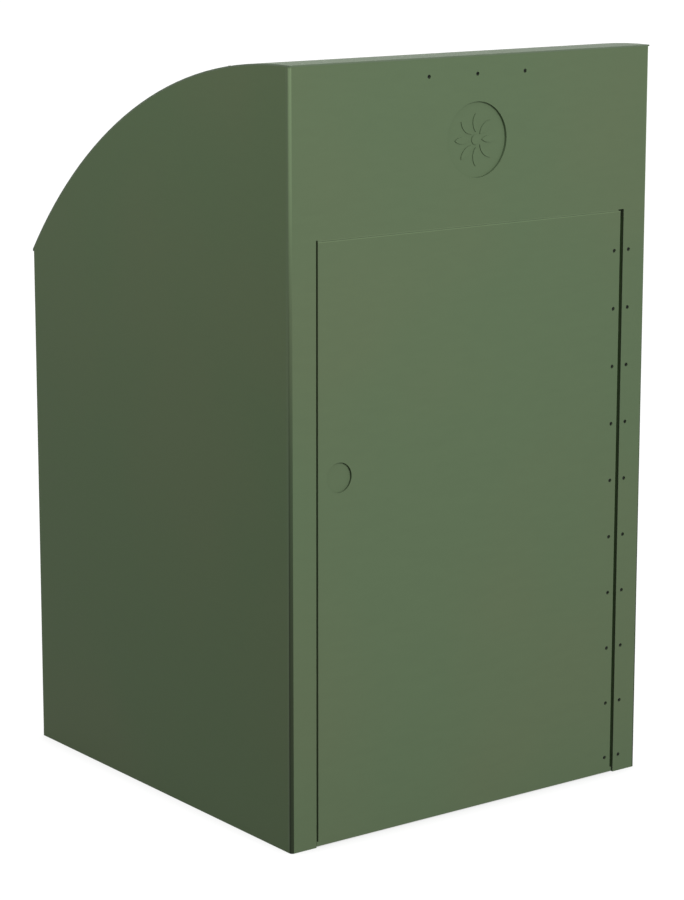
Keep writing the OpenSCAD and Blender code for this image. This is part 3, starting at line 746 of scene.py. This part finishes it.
def makeNuts(settings):
    for node in settings["nodes"]:
        form = copyOf(node)
        ends = []
        for points in islands(form):
            high = max(vert.co.y for vert in points)
            middle = middleOf(points)
            ends.append(Vector((middle.x, high - settings["collar"], middle.z)))
            for vert in points:
                if vert.co.y > middle.y:
                    vert.co.y -= settings["collar"]
        rims = [edge for edge in form.edges if sharp(edge) and edge.calc_length() > settings["shortest"]
                and abs(edge.verts[0].co.y - edge.verts[1].co.y) < settings["chamfer"]]
        roundOff(form, rims, settings["chamfer"], settings["segments"])
        for end in ends:
            addCollar(form, end, settings)
        standIn(node, form)


# Rubber buffers, domed towards the door
buffers = {"node": "door_buffers", "dome": 0.0013, "segments": 5, "flat": 0.0001}


def makeBuffers(settings):
    form = copyOf(settings["node"])
    low = min(vert.co.y for vert in form.verts)
    faced = [vert for vert in form.verts if vert.co.y < low + settings["flat"]]
    roundOff(form, sharpBetween(form, faced), settings["dome"], settings["segments"])
    standIn(settings["node"], form)


makeLengths(roundedLengths)
makeHeads(domedHeads)
makeNuts(lockNuts)
makeBuffers(buffers)
print("small pieces made")


# Floor and light: white to the eye and in reflections, plain studio light on the cabinet
studioSet = {
    "floorSize": 30,
    "floorTone": 1.0,      # as it is seen
    "bounceTone": 0.14,    # as it lights the cabinet
    "glow": 1.09,          # the plain white in the floor's look
    "glowShare": 0.85,     # its share near the cabinet, the rest takes the shadow
    "nearBy": 0.8,         # how far from the middle that holds
    "fade": 1.0,           # past it, how far until the floor is all white
    "footShadow": 0.27,    # how dark the narrow shadow along the foot is
    "footReach": 0.045,
    "ambient": 0.357,
    "lamps": [             # mirrored ones show in gloss
        {"place": (-0.55, -5.4, 2.9), "aim": (0, -0.3, 0.8), "width": 2.6, "watts": 260, "mirrored": False},
        {"place": (-2.3, 0.0, 3.7), "aim": (0, 0, 1.1), "width": 1.6, "watts": 56, "mirrored": True},
        {"place": (2.5, 5.5, 2.2), "aim": (0, 0, 0.8), "width": 3.0, "watts": 135, "mirrored": False},
        {"place": (4.2, 0.8, 2.6), "aim": (0, 0, 0.7), "width": 2.0, "watts": 80, "mirrored": True},
    ],
}


def seenDirectly(start):  # 1 for the camera's own rays, mirrored ones and those through glass
    path = [start.node("LightPath", None, None, out) for out in
            ("Is Camera Ray", "Is Glossy Ray", "Is Transmission Ray")]
    return (path[0] + path[1] + path[2]).clamped()


def evenWhite(start, kind, strength):
    return start.node(kind, None, {"Color": (1, 1, 1, 1), "Strength": strength})


def matt(start, tone):
    return start.node("BsdfDiffuse", None, {"Color": (tone, tone, tone, 1)})


def makeWorld(settings):
    world = bpy.data.worlds.new("studio")
    world.use_nodes = True
    world.node_tree.nodes.clear()
    start = Wire(world.node_tree)
    light = evenWhite(start, "Background", settings["ambient"])
    white = evenWhite(start, "Background", 1.0)
    surface = start.node("MixShader", None, {0: seenDirectly(start), 1: light, 2: white})
    start.node("OutputWorld", None, {"Surface": surface})
    bpy.context.scene.world = world


def floorFinish(settings):
    material = bpy.data.materials.new("paleFloor")
    material.use_nodes = True
    material.node_tree.nodes.clear()
    start = Wire(material.node_tree)
    clear = start.node("AmbientOcclusion", {"samples": 8}, {"Distance": settings["footReach"]}, "AO")
    level = (1 - (1 - clear) * settings["footShadow"]) * settings["glow"]
    away = start.node("VectorMath", {"operation": "LENGTH"}, {0: placeOn(start)}, "Value")
    far = away.above(settings["nearBy"], settings["fade"])
    share = settings["glowShare"] + far * (1 - settings["glowShare"])
    seen = start.node("MixShader", None, {
        0: share, 1: matt(start, settings["floorTone"]), 2: evenWhite(start, "Emission", level)})
    surface = start.node("MixShader", None, {
        0: seenDirectly(start), 1: matt(start, settings["bounceTone"]), 2: seen})
    start.node("OutputMaterial", None, {"Surface": surface})
    return material


def makeFloor(settings):
    mesh = bpy.data.meshes.new("floor")
    sheet = bmesh.new()
    bmesh.ops.create_grid(sheet, x_segments=1, y_segments=1, size=settings["floorSize"])
    sheet.to_mesh(mesh)
    sheet.free()
    floor = bpy.data.objects.new("floor", mesh)
    bpy.context.scene.collection.objects.link(floor)
    mesh.materials.append(floorFinish(settings))


def makeLamp(number, settings):
    data = bpy.data.lights.new(f"lamp{number}", "AREA")
    data.size = settings["width"]
    data.energy = settings["watts"]
    lamp = bpy.data.objects.new(data.name, data)
    lamp.location = settings["place"]
    ahead = Vector(settings["aim"]) - Vector(settings["place"])
    lamp.rotation_euler = ahead.to_track_quat("-Z", "Y").to_euler()
    lamp.visible_camera = False
    lamp.visible_glossy = settings["mirrored"]
    bpy.context.scene.collection.objects.link(lamp)


makeWorld(studioSet)
makeFloor(studioSet)
for number, lampSet in enumerate(studioSet["lamps"]):
    makeLamp(number, lampSet)
bpy.context.scene.view_settings.view_transform = "Standard"
print("studio lit")
